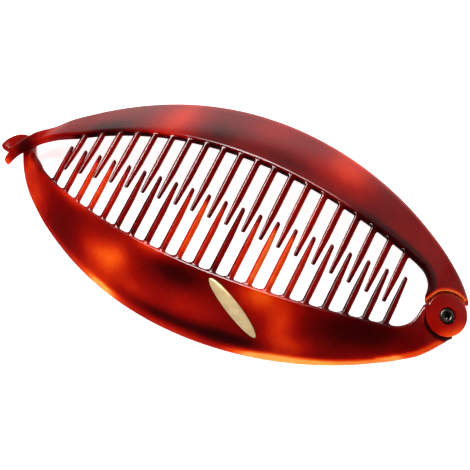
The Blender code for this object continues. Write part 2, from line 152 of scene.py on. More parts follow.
# Glow of the plastic: 0 is near black, 0.5 red and 1 orange. It carries the tortoiseshell's own
# colour and, in places, painted glow and painted shade. GLOW_COLORS turns it into sRGB.
GLOW_COLORS = (
    (0.0, (30, 0, 2)), (0.2, (70, 1, 2)), (0.4, (120, 5, 4)), (0.6, (163, 14, 5)),
    (0.8, (205, 42, 8)), (1.0, (238, 88, 16)), (1.25, (255, 178, 84)),
)
GLOW_TOP = GLOW_COLORS[-1][0]
BAND_GLOW, TOOTH_GLOW = 0.42, 0.52
LOWER_MOTTLE, UPPER_MOTTLE = 0.22, 0.16
CLOUD_SCALE, GRAIN_SCALE, GRAIN = 130.0, 900.0, 0.08
ROUGHNESS, ROUGHNESS_SPREAD, ROUGHNESS_SCALE = 0.1, 0.06, 260.0
PLASTIC_IOR, PLASTIC_SPECULAR = 1.5, 0.5
SCATTER_RADIUS, SCATTER_SCALE = (1.0, 0.25, 0.1), 0.0012

# Patches of a band: middle along, middle across, reach along, reach across, glow. Most are the
# tortoiseshell's own patches; on the lower band the narrow darker ones near the lip are a painted
# dark line inside the lip, the narrow lighter ones there are painted lip glow, and the one at across
# 0 near the neck is painted shade on the inner edge.
LOWER_PATCHES_AND_PAINTED_LIGHT = (
    (-46.5, 0.75, 5.0, 0.6, 0.42), (-43.5, 0.0, 5.0, 0.1, -0.35), (-36.0, 0.05, 8.0, 0.12, 0.4),
    (-37.0, 0.7, 9.0, 0.5, -0.12), (-22.0, 0.58, 6.5, 0.32, 0.52), (-18.0, 0.4, 3.5, 0.2, 0.25),
    (-11.0, 0.04, 6.0, 0.13, 0.42), (-12.0, 0.72, 5.0, 0.15, 0.22), (-3.0, 0.22, 7.0, 0.16, -0.3),
    (1.0, 0.62, 7.0, 0.16, 0.2), (-4.0, 0.86, 8.0, 0.07, -0.3), (11.0, 0.84, 9.0, 0.1, -0.4),
    (15.5, 0.12, 4.5, 0.24, 0.55), (22.0, 0.5, 3.4, 0.45, 0.45), (26.5, 0.75, 3.5, 0.15, 0.3),
    (38.0, 0.3, 11.0, 0.4, -0.32), (45.0, 0.93, 7.0, 0.12, 0.25), (-25.0, 0.92, 8.0, 0.1, 0.15),
)
UPPER_PATCHES = (
    (-20.5, 0.45, 5.0, 0.7, 0.38), (20.5, 0.7, 6.0, 0.4, 0.42), (-35.0, 0.15, 7.0, 0.3, -0.26),
    (-9.0, 0.25, 5.0, 0.35, -0.2), (7.0, 0.2, 7.0, 0.16, -0.14), (33.0, 0.05, 9.0, 0.14, -0.25),
    (2.0, 0.8, 5.0, 0.35, 0.12), (31.0, 0.6, 5.0, 0.5, -0.06),
)
# Patches of the teeth: middle, reach along the clip, glow
LOWER_TOOTH_PATCHES = (
    (-31.0, 6.0, 0.42), (-18.0, 4.0, -0.12), (-4.0, 5.0, 0.42), (5.0, 2.0, -0.2),
    (14.0, 7.0, 0.55), (38.0, 9.0, -0.15),
)
UPPER_TOOTH_PATCHES = (
    (-31.0, 5.0, 0.08), (-12.0, 8.0, -0.05), (18.0, 5.0, 0.15), (30.0, 5.0, -0.06),
)

# Where the teeth's looks end and the band's begin, in millimetres
TOOTH_MARGIN, TOOTH_START, GLOSS_START, END_REACH = 2.0, 0.15, 0.05, 4.0

# Teeth. A pair is where a change starts and where it is complete, in millimetres or half widths. The
# flank and root darkening is painted shade.
UPPER_TOOTH_DIM = 0.08
FLANK_SHADE = 0.34  # painted shade on the flank on the hook side of each tooth
LOWER_FLANK, UPPER_FLANK = (-0.5, 0.15), (-0.9, -0.5)
TIP_GLOW, TIP_SHARE, TIP_FADE = 0.22, 0.85, (0.3, 2.8)
# painted shade where each tooth meets its wall
ROOT_SHADE, ROOT_FADE = 0.16, (0.2, 2.5)

# Rims of the bands: painted glow along the outer lip, painted shade along the upper window edge near
# the hinge and on the inner walls. A pair is as above, along the clip or across the band.
# painted glow, partly painted highlight, along the outer lip of each band; less of it near the hinge
# and the hook
LIP_GLOW, LIP_FADE, HINGE_LIP_FADE = 0.26, (0.86, 0.98), (0.3, 1.3)
MIDDLE_LIP_GLOW, MIDDLE_LIP = 0.7, (8.0, 20.0)
HINGE_LIP_DARK, HINGE_LIP = 0.4, (28.0, 44.0)
LEFT_LIP_GLOW, LEFT_LIP_AT, LEFT_LIP_REACH = 0.5, -20.0, 4.5
HOOK_LIP_DARK, HOOK_LIP = 0.2, (36.0, 44.0)
UPPER_LIP_GLOW = 0.15
# painted shade: a dark band along the upper half's window edge, from the middle towards the hinge
RIM_SHADE, RIM_SHARE, RIM_WIDTH, RIM_START = 0.06, 0.85, (1.5, 2.3), (26.0, 38.0)
# painted shade on the inner wall of each band, below its crest
WALL_ACROSS, WALL_FADE, WALL_START = 0.08, (0.25, 0.8), (-REACH - 3, -REACH + 2)
UPPER_WALL_SHADE, LOWER_WALL_SHADE = 0.45, 0.3

# Necks, hook and finger
NECK_BLEND = (-REACH - 9, -REACH - 3)
LOWER_NECK_GLOW, UPPER_NECK_GLOW = 0.74, 0.5
# painted shade along the inner edge of the lower half's neck
NECK_EDGE_SHADE, NECK_EDGE = 0.45, (0.6, 2.0)
HOOK_DARK, HOOK_START = 0.24, (51.5, 54.5)
ARM_GLOW, ARM_AT, ARM_REACH = 0.16, -50.0, 2.5
FINGER_DARK, FINGER_AT, FINGER_REACH = 0.42, (-54.8, 0.4), 2.4
FINGERTIP_GLOW, FINGERTIP = 0.4, (2.8, 4.6)

# Round the hinge: painted glow at the upper half's curved end and on the lug's outer side, painted
# shade on the lug's other side and in the moat
# painted glow along the upper half's curved end round the lug
SWING_GLOW, SWING_FADE = 1.08, (SWING_RADIUS + 0.1, SWING_RADIUS + 0.9)
LUG_GLOW, LUG_REACH, LUG_TOP_REACH = 0.55, LUG_RADIUS + 0.05, LUG_RADIUS + 1.0
# painted glow on the lug's outer side and painted shade on its opposite side
LUG_EDGE_GLOW, LUG_EDGE_GLOW_SIDE = 0.55, (2.5, 6.8)
LUG_SHADE, LUG_SHADE_SIDE = 0.1, (1.5, 5.0)
LUG_TOP_DEPTH, MOAT_TOP, MOAT_NEAR = -0.1, -0.3, LUG_RADIUS - 0.1
# painted shade in the moat round the lug
MOAT_SHADE, MOAT_FADE = 0.12, (LUG_RADIUS + 0.6, LUG_RADIUS + 1.3)

# Gloss: 1 is a full polish
DULL = 0.05
LOWER_RIDGE = 0.2
RIDGE_LEFT, RIDGE_RIGHT = (-0.65, -0.45), (-0.1, 0.2)
UPWARD = (0.45, 0.8)
HOOK_SIDE_DULL, HOOK_SIDE = 0.55, (28.0, 44.0)
TIP_DULL, TIP_SIDE = 0.15, (48.0, 52.0)

# Metals: dark and light colour, roughness, scale of the wear, and how metallic
RIVET_STEEL = (44, 40, 36), (130, 124, 116), 0.3, 900.0, 1.0
WASHER_STEEL = (22, 20, 18), (66, 62, 58), 0.38, 900.0, 1.0
BAR_GOLD = (232, 196, 134), (250, 224, 172), 0.4, 500.0, 0.4
METAL_STOPS, METAL_WEAR = (0.3, 0.7), 0.2

# Studio. Ramps hold (place, grey) stops over the height, or over the depth, of a direction.
WALL_GREYS = ((0.0, 238), (0.05, 215), (0.13, 158), (0.22, 140), (0.45, 160), (0.6, 150), (0.8, 70))
DEPTH_GREYS = ((0.0, 90), (0.5, 243), (1.0, 255))
BACKDROP_COLOR = (250, 250, 250)
FLOOR_GREYS = ((0.0, 246), (1.0, 252))
FLOOR_SIZE, FLOOR_DROP, FLOOR_GLOW, FLOOR_ROUGHNESS = 3.0, 0.0002, 0.8, 0.9
# Lights: direction from the clip, distance, size and power
SOFTBOX = (-0.28, 0.42, 0.87), 1.0, (0.5, 0.6), 10.0
FILL = (0.05, -0.78, 0.62), 1.2, (0.8, 0.5), 8.0
STRIP = (-0.1, 0.36, 0.93), 1.0, (0.6, 0.36), 7.0

# View
CAMERA_AZIMUTH, CAMERA_ELEVATION, CAMERA_ROLL = (math.radians(a) for a in (44.87, 67.02, 20.86))
CAMERA_DISTANCE = 0.3276
CAMERA_LENS, CAMERA_SENSOR = 113.9, 36.0
CAMERA_SHIFT = (0.0262, -0.0532)


def power_sum(factors, x):
    return sum(factor * (x / REACH) ** power for power, factor in enumerate(factors))


def arch(x):
    return power_sum(ARCH, x)


def arch_tilt(x):
    """Angle by which the arch falls at x."""
    step = 0.01
    return math.atan2(arch(x - step) - arch(x + step), 2 * step)


def smooth(value, start, end):
    """0 before start, 1 after end, and an even curve between them."""
    part = min(max((value - start) / (end - start), 0.0), 1.0)
    return part * part * (3 - 2 * part)


def fade(value, start, end):
    """1 before start, 0 after end, and an even curve between them."""
    return 1 - smooth(value, start, end)


HINGE_TILT = arch_tilt(HINGE_X)
HINGE_AT = Vector((HINGE_X, 0.0, arch(HINGE_X)))

# Ends of the bands, one section a row: inner edge, outer edge and, at the tips, their heights
LOWER_HINGE_END = (
    ((44.5, -7.0), (45.6, -14.3)),
    ((46.2, -5.3), (48.0, -12.6)),
    ((47.0, -3.3), (50.2, -10.9)),
    ((47.3, -1.1), (51.9, -8.8)),
    ((47.5, 0.0), (53.4, -6.6)),
    ((48.7, 1.5), (54.5, -4.8)),
    ((50.0, 2.2), (55.5, -3.5)),
)
UPPER_HINGE_END = (
    ((44.5, 6.9), (45.6, 14.3)),
    ((46.2, 5.1), (48.0, 12.6)),
    ((46.8, 3.3), (50.2, 10.9)),
    ((46.9, 1.9), (52.4, 9.1)),
    ((47.4, 1.0), (54.3, 7.2)),
    ((49.0, 1.0), (55.6, 5.6)),
)
HOOK = (
    ((-53.1, 1.6), (-54.9, -2.2), -13.9, -14.9),
    ((-54.4, 3.6), (-56.3, 0.1), -14.8, -15.1),
    ((-56.9, 4.3), (-57.6, 0.9), -15.4, -15.5),
    ((-59.4, 3.7), (-58.8, 0.2), -15.6, -15.6),
    ((-61.4, 1.7), (-59.2, -0.4), -15.7, -15.7),
    ((-62.1, -0.2), (-59.6, -1.1), -15.7, -15.7),
    ((-61.5, -1.0), (-60.4, -1.2), -15.8, -15.8),
)
LOWER_NECK = (
    ((-46.2, -4.1), (-47.3, -10.7), 0.0),
    ((-48.6, -2.3), (-50.4, -7.8), 0.2),
    ((-51.3, -0.5), (-52.9, -5.0), 1.0),
)
UPPER_NECK = (
    ((-46.8, 4.75), (-47.0, 11.3), 0.0),
    ((-49.6, 3.6), (-50.6, 8.0), 0.0),
)
FINGER = (
    ((-52.0, 1.9), (-53.6, 4.7), -11.0, -11.5),
    ((-54.0, 0.1), (-56.0, 2.1), -11.7, -12.2),
    ((-55.6, -1.5), (-57.8, -0.3), -12.2, -12.8),
    ((-56.6, -2.9), (-58.2, -2.0), -12.7, -13.1),
    ((-57.1, -4.1), (-58.4, -3.7), -13.0, -13.2),
    ((-57.6, -4.7), (-58.1, -4.6), -13.3, -13.3),
)


# ---- Meshes -------------------------------------------------------------------------------


def add_object(name, builder, base):
    """An object whose mesh was built in the clip's own millimetres. base is the clip's origin."""
    bmesh.ops.recalc_face_normals(builder, faces=builder.faces)
    bmesh.ops.transform(builder, matrix=Matrix.Translation(base) @ Matrix.Scale(MM, 4),
                        verts=builder.verts)
    mesh = bpy.data.meshes.new(name)
    builder.to_mesh(mesh)
    builder.free()
    obj = bpy.data.objects.new(name, mesh)
    bpy.context.scene.collection.objects.link(obj)
    return obj


def combine(target, joined, cutters):
    """Joins bodies to a half, cuts it, and keeps the result as its mesh."""
    helpers = [(helper, "UNION") for helper in joined]
    helpers += [(helper, "DIFFERENCE") for helper in cutters]
    for helper, operation in helpers:
        modifier = target.modifiers.new(helper.name, "BOOLEAN")
        modifier.object = helper
        modifier.operation = operation
        modifier.solver = "MANIFOLD"
    graph = bpy.context.evaluated_depsgraph_get()
    mesh = bpy.data.meshes.new_from_object(target.evaluated_get(graph))
    target.modifiers.clear()
    target.data = mesh
    for helper, _ in helpers:
        bpy.data.objects.remove(helper, do_unlink=True)


def shade(obj, angle=38.0):
    obj.data.shade_smooth()
    obj.data.set_sharp_from_angle(angle=math.radians(angle))


def add_loft(builder, rings):
    """A closed body through rings of points that all hold the same number of points."""
    loops = [[builder.verts.new(point) for point in ring] for ring in rings]
    count = len(loops[0])
    for near, far in zip(loops, loops[1:]):
        for i in range(count):
            j = (i + 1) % count
            builder.faces.new((near[i], near[j], far[j], far[i]))
    builder.faces.new(loops[0])
    builder.faces.new(reversed(loops[-1]))


def curve_point(corners, part):
    """A point of the Catmull-Rom curve between the second and the third of four corners."""
    before, start, end, after = (Vector(corner) for corner in corners)
    bend = 2 * before - 5 * start + 4 * end - after
    twist = 3 * start - before - 3 * end + after
    return (2 * start + (end - before) * part + bend * part**2 + twist * part**3) / 2


def smooth_rings(rings):
    """Adds rings between the given ones, each point on a curve through the four nearest."""
    smoothed = []
    last = len(rings) - 1
    for i in range(last):
        near = [rings[max(i - 1, 0)], rings[i], rings[i + 1], rings[min(i + 2, last)]]
        for step in range(BETWEEN + 1):
            part = step / (BETWEEN + 1)
            smoothed.append([curve_point(corners, part) for corners in zip(*near)])
    smoothed.append(rings[-1])
    return smoothed


def add_turned(builder, profile, place):
    """A body turned about the Z axis from (radius, height) points that start and end on it."""
    rows = []
    for radius, height in profile:
        if radius == 0.0:
            rows.append([builder.verts.new(place @ Vector((0.0, 0.0, height)))])
            continue
        row = []
        for i in range(ROUND_SEGMENTS):
            angle = 2 * math.pi * i / ROUND_SEGMENTS
            point = Vector((radius * math.cos(angle), radius * math.sin(angle), height))
            row.append(builder.verts.new(place @ point))
        rows.append(row)
    for near, far in zip(rows, rows[1:]):
        for i in range(ROUND_SEGMENTS):
            j = (i + 1) % ROUND_SEGMENTS
            corners = [near[i % len(near)], near[j % len(near)]]
            corners += [far[j % len(far)], far[i % len(far)]]
            builder.faces.new(list(dict.fromkeys(corners)))


def hinge_frame(offset=Vector((0.0, 0.0, 0.0))):
    """Places a body made about the Z axis on the hinge, whose axis stands square to the arch."""
    turn = Matrix.Rotation(HINGE_TILT, 4, "Y")
    return Matrix.Translation(HINGE_AT) @ turn @ Matrix.Translation(offset)


def quarter(middle, radius, start):
    """Points of a quarter circle in a section, from the angle start and clockwise from above."""
    points = []
    for i in range(ARC_STEPS + 1):
        angle = math.radians(start - 90.0 * i / ARC_STEPS)
        across = middle[0] + radius * math.cos(angle)
        points.append((across, middle[1] - radius * math.sin(angle)))
    return points


# ---- Bands --------------------------------------------------------------------------------


def edge_drop(x):
    return min(power_sum(EDGE_DROP, x), -LEAST_DROP)


def skin_height(x, across):
    """Height of a band's outer skin, from its crest (across 0) to its outer edge (across 1)."""
    return arch(x) + CREST_LIFT + (edge_drop(x) - CREST_LIFT) * across**CROWN


def band_ring(inner, outer, top, wall, crest_round=CREST_ROUND):
    """One section of a band. top and wall give its height and thickness at a fraction across."""
    start = Vector(inner)
    side = Vector(outer) - start
    width = side.length
    crest = min(crest_round, width / 4)
    lip = min(LIP_ROUND, width / 5)
    points = quarter((crest, crest), crest, 180.0)
    flat = width - lip - crest
    points += [(crest + flat * i / SKIN_STEPS, 0.0) for i in range(1, SKIN_STEPS)]
    points += quarter((width - lip, lip), lip, 90.0)
    points += quarter((width - lip, wall(1.0) - lip), lip, 0.0)
    under = width - lip - UNDER_ROUND
    for i in range(1, UNDERSIDE_STEPS):
        across = width - lip - under * i / UNDERSIDE_STEPS
        points.append((across, wall(across / width)))
    points += quarter((UNDER_ROUND, wall(0.0) - UNDER_ROUND), UNDER_ROUND, -90.0)
    ring = []
    for distance, depth in points:
        part = distance / width
        x, y = start + side * part
        ring.append((x, y, top(max(part, 0.0), x) - depth))
    return ring


def band_wall(part):
    return WALL_INNER + (WALL_OUTER - WALL_INNER) * part


def span_rings(side):
    rings = []
    for i in range(SPAN_STEPS + 1):
        x = REACH * (2 * i / SPAN_STEPS - 1)
        inner = (x, side * power_sum(WINDOW, x))
        outer = (x, side * power_sum(OUTLINE, x))
        rings.append(band_ring(inner, outer, lambda part, at: skin_height(at, part), band_wall))
    return rings


def hinge_rings(rows, end_wall, end_crest):
    """The sections round the hinge. Wall and crest grow to end_wall and end_crest at the last."""
    rings = []
    for i, (inner, outer) in enumerate(rows):
        share = (i + 1) / len(rows)

        def wall(part, share=share):
            return band_wall(part) + (end_wall - band_wall(part)) * share

        crest = CREST_ROUND + (end_crest - CREST_ROUND) * share
        rings.append(band_ring(inner, outer, lambda part, at: skin_height(at, part), wall, crest))
    return rings


def neck_rings(rows):
    rings = []
    for inner, outer, sink in rows:

        def top(part, at, sink=sink):
            return skin_height(at, part) - sink

        rings.append(band_ring(inner, outer, top, band_wall))
    return rings


def tip_rings(rows, thick):
    rings = []
    for inner, outer, inner_top, outer_top in rows:

        def top(part, at, low=inner_top, high=outer_top):
            return low + (high - low) * part

        rings.append(band_ring(inner, outer, top, lambda part: thick))
    return rings


# ---- Teeth --------------------------------------------------------------------------------


def tooth_ring(x, along, side, size, extra, skew):
    """A tooth's section: along is its distance from the centre line, skew how far it follows the
    wall's slant, and extra its added half width."""
    ring = []
    section = LOWER_SECTION if side < 0 else UPPER_SECTION
    for row, half in ((section, TOOTH_HALF), (FOOT_SECTION, TOOTH_FOOT)):
        for across, depth in row:
            depth *= TOOTH_DEPTH if row is FOOT_SECTION else 1.0
            at = x + across * (half * size + extra)
            slant = (power_sum(WINDOW, at) - power_sum(WINDOW, x)) * skew
            ring.append((at, side * (along + slant), arch(at) - depth * size))
    return ring


def tooth_factors(side):
    """The shift of a half's tooth roots, their lean and where the tips lie, along the clip."""
    if side < 0:
        return LOWER_ROOTS, LOWER_LEAN, LOWER_TIPS
    return UPPER_ROOTS, UPPER_LEAN, UPPER_TIPS


def add_tooth(builder, x, side):
    shift, lean, reach = (power_sum(factors, x) for factors in tooth_factors(side))
    root = power_sum(WINDOW, x) + ROOT
    face = root - ROOT
    tip = -reach
    taper_start = tip + TAPER
    sections = [(face + TOOTH_EMBED, 1.0, FILLET, 1.0)]
    for stop in FILLET_STOPS:
        extra = FILLET * (1 - math.sqrt(1 - stop * stop))
        sections.append((face - FILLET * (1 - stop), 1.0, extra, 1.0))
    shaft = face - FILLET - taper_start
    for i in range(1, SHAFT_STEPS + 1):
        along = face - FILLET - shaft * i / SHAFT_STEPS
        sections.append((along, 1.0, 0.0, 1 - smooth(face - along, FILLET, SKEW_END)))
    tapered = TAPER - TIP_ROUND
    for i in range(1, SHAFT_STEPS + 1):
        part = i / SHAFT_STEPS
        sections.append((taper_start - tapered * part, 1 + (TIP_SIZE - 1) * part, 0.0, 0.0))
    for stop in TIP_STOPS[1:]:
        size = TIP_SIZE * (TIP_END + (1 - TIP_END) * math.sqrt(1 - stop * stop))
        sections.append((tip + TIP_ROUND * (1 - stop), size, 0.0, 0.0))
    rings = []
    for along, size, extra, skew in sections:
        aside = shift + lean * (root - along) / (root - tip)
        rings.append(tooth_ring(x + aside, along, side, size, extra, skew))
    add_loft(builder, rings)


def tooth_places(side):
    if side < 0:
        return [i * TOOTH_PITCH for i in range(-TEETH_EACH_SIDE, TEETH_EACH_SIDE + 1)]
    return [(i + 0.5) * TOOTH_PITCH for i in range(-TEETH_EACH_SIDE, TEETH_EACH_SIDE)]


def add_teeth(name, side, base):
    builder = bmesh.new()
    for x in tooth_places(side):
        add_tooth(builder, x, side)
    return add_object(name, builder, base)


# ---- Halves -------------------------------------------------------------------------------


def add_disc(name, base, radius, low, high, offset=Vector((0.0, 0.0, 0.0)), rounded=0.0):
    profile = [(0.0, low), (radius, low)]
    for i in range(ARC_STEPS + 1 if rounded else 0):
        angle = math.pi / 2 * i / ARC_STEPS
        across = radius - rounded * (1 - math.cos(angle))
        profile.append((across, high - rounded * (1 - math.sin(angle))))
    if not rounded:
        profile.append((radius, high))
    profile.append((0.0, high))
    builder = bmesh.new()
    add_turned(builder, profile, hinge_frame(offset))
    return add_object(name, builder, base)


def add_foot_cutter(name, base):
    builder = bmesh.new()
    bmesh.ops.create_cube(builder, size=1.0)
    bmesh.ops.scale(builder, vec=Vector((4 * REACH, 2 * REACH, PAST)), verts=builder.verts)
    middle = Vector((0.0, 0.0, FOOT_HEIGHT - PAST / 2))
    bmesh.ops.translate(builder, vec=middle, verts=builder.verts)
    return add_object(name, builder, base)


def add_moat(base):
    """Cutter for the groove round the lug, where the band of the lower half falls away."""
    rings = []
    near = LUG_RADIUS + MOAT_LEAST
    for i in range(MOAT_STEPS + 1):
        angle = MOAT_START + (MOAT_END - MOAT_START) * i / MOAT_STEPS
        width = (MOAT_RADIUS - LUG_RADIUS) * smooth(i / MOAT_STEPS, -0.12, 0.43)
        ring = []
        for radius, height in (
            (near, -MOAT_DEPTH),
            (near + width, -MOAT_DEPTH),
            (near + MOAT_FLARE * width, PAST),
            (near, PAST),
        ):
            point = Vector((radius * math.cos(angle), radius * math.sin(angle), height))
            ring.append(hinge_frame(LUG_OFFSET) @ point)
        rings.append(ring)
    builder = bmesh.new()
    add_loft(builder, rings)
    return add_object("moat_cutter", builder, base)


def add_lug_with_tail(base):
    outline = []
    for i in range(ROUND_SEGMENTS + 1):
        angle = TAIL_ANGLE + TAIL_OPENING + 2 * (math.pi - TAIL_OPENING) * i / ROUND_SEGMENTS
        x, y = LOWER_LUG_RADIUS * math.cos(angle), LOWER_LUG_RADIUS * math.sin(angle)
        outline.append(Vector((x, y, 0.0)))
    along = Vector((math.cos(TAIL_ANGLE), math.sin(TAIL_ANGLE), 0.0))
    aside = Vector((-along.y, along.x, 0.0)) * TAIL_WIDTH / 2
    outline += [along * TAIL_LENGTH - aside, along * TAIL_LENGTH + aside]
    rings = []
    for height in (LUG_FOOT - SPARE, LUG_TOP + SPARE):
        rings.append([hinge_frame(Vector((0, 0, height))) @ point for point in outline])
    builder = bmesh.new()
    add_loft(builder, rings)
    return add_object("lug_with_tail", builder, base)


def make_lower_half(base):
    rings = tip_rings(reversed(HOOK), HOOK_THICK) + neck_rings(reversed(LOWER_NECK))
    rings += span_rings(-1) + hinge_rings(LOWER_HINGE_END, WALL_INNER, LOWER_HINGE_CREST)
    builder = bmesh.new()
    add_loft(builder, smooth_rings(rings))
    half = add_object("tortoiseshell_lower", builder, base)
    lug_low = -LUG_THICK - SPARE
    joined = [
        add_teeth("lower_teeth", -1, base),
        add_disc("upper_lug", base, LUG_RADIUS, lug_low, 0.03, LUG_OFFSET, RIM_ROUND),
    ]
    cutters = [
        add_disc("flat_cutter", base, LUG_RADIUS + GAP, 0.0, PAST, LUG_OFFSET),
        add_disc("undercut", base, UNDERCUT_RADIUS, -2 * PAST, -LUG_THICK),
        add_moat(base),
        add_disc("recess", base, RECESS_RADIUS, -RECESS_DEPTH, PAST),
        add_disc("upper_bore", base, SHANK_RADIUS + BORE_CLEARANCE, -2 * PAST, PAST),
        add_foot_cutter("hook_foot", base),
    ]
    combine(half, joined, cutters)
    return half


def make_upper_half(base):
    rings = tip_rings(reversed(FINGER), FINGER_THICK) + neck_rings(reversed(UPPER_NECK))
    rings += span_rings(1) + hinge_rings(UPPER_HINGE_END, -LUG_FOOT, HINGE_CREST_ROUND)
    builder = bmesh.new()
    add_loft(builder, smooth_rings(rings))
    half = add_object("tortoiseshell_upper", builder, base)
    head_seat = LUG_FOOT + HEAD_THICK + BORE_CLEARANCE
    below = LUG_FOOT - PAST
    joined = [add_teeth("upper_teeth", 1, base), add_lug_with_tail(base)]
    cutters = [
        add_disc("swing_cutter", base, SWING_RADIUS, LUG_TOP, PAST),
        add_disc("foot_cutter", base, 2 * LUG_RADIUS, below, LUG_FOOT),
        add_disc("lower_bore", base, SHANK_RADIUS + BORE_CLEARANCE, below, PAST),
        add_disc("head_cutter", base, HEAD_RADIUS + BORE_CLEARANCE, below, head_seat),
        add_foot_cutter("lug_foot", base),
    ]
    combine(half, joined, cutters)
    return half


# ---- Colour of the halves -----------------------------------------------------------------


def bump(value, middle, reach):
    return math.exp(-(((value - middle) / reach) ** 2))


def band_glow(x, across, patches):
    glow = BAND_GLOW
    for along, middle, reach, breadth, amount in patches:
        glow += amount * bump(x, along, reach) * bump(across, middle, breadth)
    return glow


def tooth_offset(x, y, side):
    """How far a point lies from the middle of the nearest tooth, in half widths."""
    if side < 0:
        root_x = round(x / TOOTH_PITCH) * TOOTH_PITCH
    else:
        root_x = (math.floor(x / TOOTH_PITCH) + 0.5) * TOOTH_PITCH
    shift, lean, reach = (power_sum(factors, root_x) for factors in tooth_factors(side))
    root = power_sum(WINDOW, root_x) + ROOT
    return (x - root_x - shift - lean * (root - side * y) / (root + reach)) / TOOTH_HALF


def tooth_glow(x, y, side):
    """The glow of a tooth: painted shade on its hook-side flank and at its root, and dark at its
    tip.
    """
    lower = side < 0
    glow = TOOTH_GLOW - (0.0 if lower else UPPER_TOOTH_DIM)
    for along, reach, amount in LOWER_TOOTH_PATCHES if lower else UPPER_TOOTH_PATCHES:
        glow += amount * bump(x, along, reach)
    from_tip = power_sum(LOWER_TIPS if lower else UPPER_TIPS, x) + side * y
    from_root = power_sum(WINDOW, x) - side * y
    flank = LOWER_FLANK if lower else UPPER_FLANK
    glow -= FLANK_SHADE * fade(tooth_offset(x, y, side), *flank)
    glow -= (glow - TIP_GLOW) * TIP_SHARE * fade(from_tip, *TIP_FADE)
    return glow - ROOT_SHADE * fade(from_root, *ROOT_FADE)


def hinge_glow(place, side, glow):
    """The glow round the hinge, at a place seen along its axis, over the band's own glow: painted
    glow at the upper half's curved end and on the lug's outer side, painted shade on the lug's other
    side and in the moat.
    """
    if side > 0:
        return glow + (SWING_GLOW - glow) * fade(math.hypot(place.x, place.y), *SWING_FADE)
    from_lug = math.hypot(place.x - LUG_OFFSET.x, place.y - LUG_OFFSET.y)
    in_moat = place.z < MOAT_TOP and from_lug > MOAT_NEAR
    reach = LUG_TOP_REACH if place.z > LUG_TOP_DEPTH else LUG_REACH
    if from_lug < reach and not in_moat:
        outward = place.x - place.y
        edge_glow = LUG_EDGE_GLOW * smooth(outward, *LUG_EDGE_GLOW_SIDE)
        return LUG_GLOW + edge_glow - LUG_SHADE * smooth(-outward, *LUG_SHADE_SIDE)
    return MOAT_SHADE + (glow - MOAT_SHADE) * smooth(from_lug, *MOAT_FADE)


def segment_distance(point, start, end):
    part = (point - start).dot(end - start) / (end - start).length_squared
    return (point - start - (end - start) * min(max(part, 0.0), 1.0)).length


def edge_distance(x, y, edge):
    return min(segment_distance(Vector((x, y)), *ends) for ends in zip(edge, edge[1:]))


def upper_window_edge():
    """The upper half's edge at the window, from its middle to the hinge."""
    edge = [Vector((x, power_sum(WINDOW, x))) for x in range(24, 43, 2)]
    return edge + [Vector(row[0]) for row in UPPER_HINGE_END[:5]]


def lower_outer_edge():
    """The lower half's outer edge near the hinge."""
    edge = [Vector((x, -power_sum(OUTLINE, x))) for x in (36, 39, 42)]
    return edge + [Vector(row[1]) for row in LOWER_HINGE_END]


def lip_glow(x, y, across, side):
    """What the outer lip adds to a band's glow: painted glow where light leaves the plastic, partly
    painted highlight.
    """
    lip = smooth(across, *LIP_FADE)
    if side > 0:
        return UPPER_LIP_GLOW * lip
    if x > REACH:
        lip = fade(edge_distance(x, y, lower_outer_edge()), *HINGE_LIP_FADE)
    glow = LIP_GLOW + MIDDLE_LIP_GLOW * smooth(x, *MIDDLE_LIP)
    glow += LEFT_LIP_GLOW * bump(x, LEFT_LIP_AT, LEFT_LIP_REACH)
    glow -= HINGE_LIP_DARK * smooth(x, *HINGE_LIP) + HOOK_LIP_DARK * smooth(-x, *HOOK_LIP)
    return lip * glow


def neck_glow(x, y, side):
    """The glow of a neck and of the hook or the finger at its end, with painted shade along the
    lower neck's inner edge.
    """
    if side < 0:
        rim = edge_distance(x, y, [Vector(row[0]) for row in LOWER_NECK])
        glow = LOWER_NECK_GLOW - NECK_EDGE_SHADE * fade(rim, *NECK_EDGE)
        return glow - HOOK_DARK * smooth(-x, *HOOK_START)
    patch = bump(x, FINGER_AT[0], FINGER_REACH) * bump(y, FINGER_AT[1], FINGER_REACH)
    glow = UPPER_NECK_GLOW + ARM_GLOW * bump(x, ARM_AT, ARM_REACH) - FINGER_DARK * patch
    return glow + FINGERTIP_GLOW * smooth(-y, *FINGERTIP)


def glow_at(point, side):
    """How light the plastic is at a point of a half, from its distance to rims and patches: its own
    patches, with painted glow at the lips and round the hinge and painted shade on walls, teeth
    flanks, roots and in the moat.
    """
    x, y, z = point
    if abs(x) < REACH + TOOTH_MARGIN and side * y < power_sum(WINDOW, x) - TOOTH_START:
        return tooth_glow(x, y, side)
    along = min(max(x, -REACH - END_REACH), REACH + END_REACH)
    inner, outer = power_sum(WINDOW, along), power_sum(OUTLINE, along)
    across = min(max((side * y - inner) / (outer - inner), 0.0), 1.0)
    glow = band_glow(x, across, LOWER_PATCHES_AND_PAINTED_LIGHT if side < 0 else UPPER_PATCHES)
    glow += lip_glow(x, y, across, side)
    if x < NECK_BLEND[1]:
        neck = neck_glow(x, y, side)
        return neck + (glow - neck) * smooth(x, *NECK_BLEND)
    # painted shade along the upper half's window edge near the hinge
    if side > 0 and x > RIM_START[0]:
        dark = fade(edge_distance(x, y, upper_window_edge()), *RIM_WIDTH)
        glow += (RIM_SHADE - glow) * RIM_SHARE * dark * smooth(x, *RIM_START)
    if x > REACH + END_REACH:
        return hinge_glow(hinge_frame().inverted() @ point, side, glow)
    # painted shade on the inner wall below the crest
    if across < WALL_ACROSS:
        depth = skin_height(along, across) - z
        dark = LOWER_WALL_SHADE if side < 0 else UPPER_WALL_SHADE
        glow -= dark * smooth(depth, *WALL_FADE) * smooth(x, *WALL_START)
    return glow


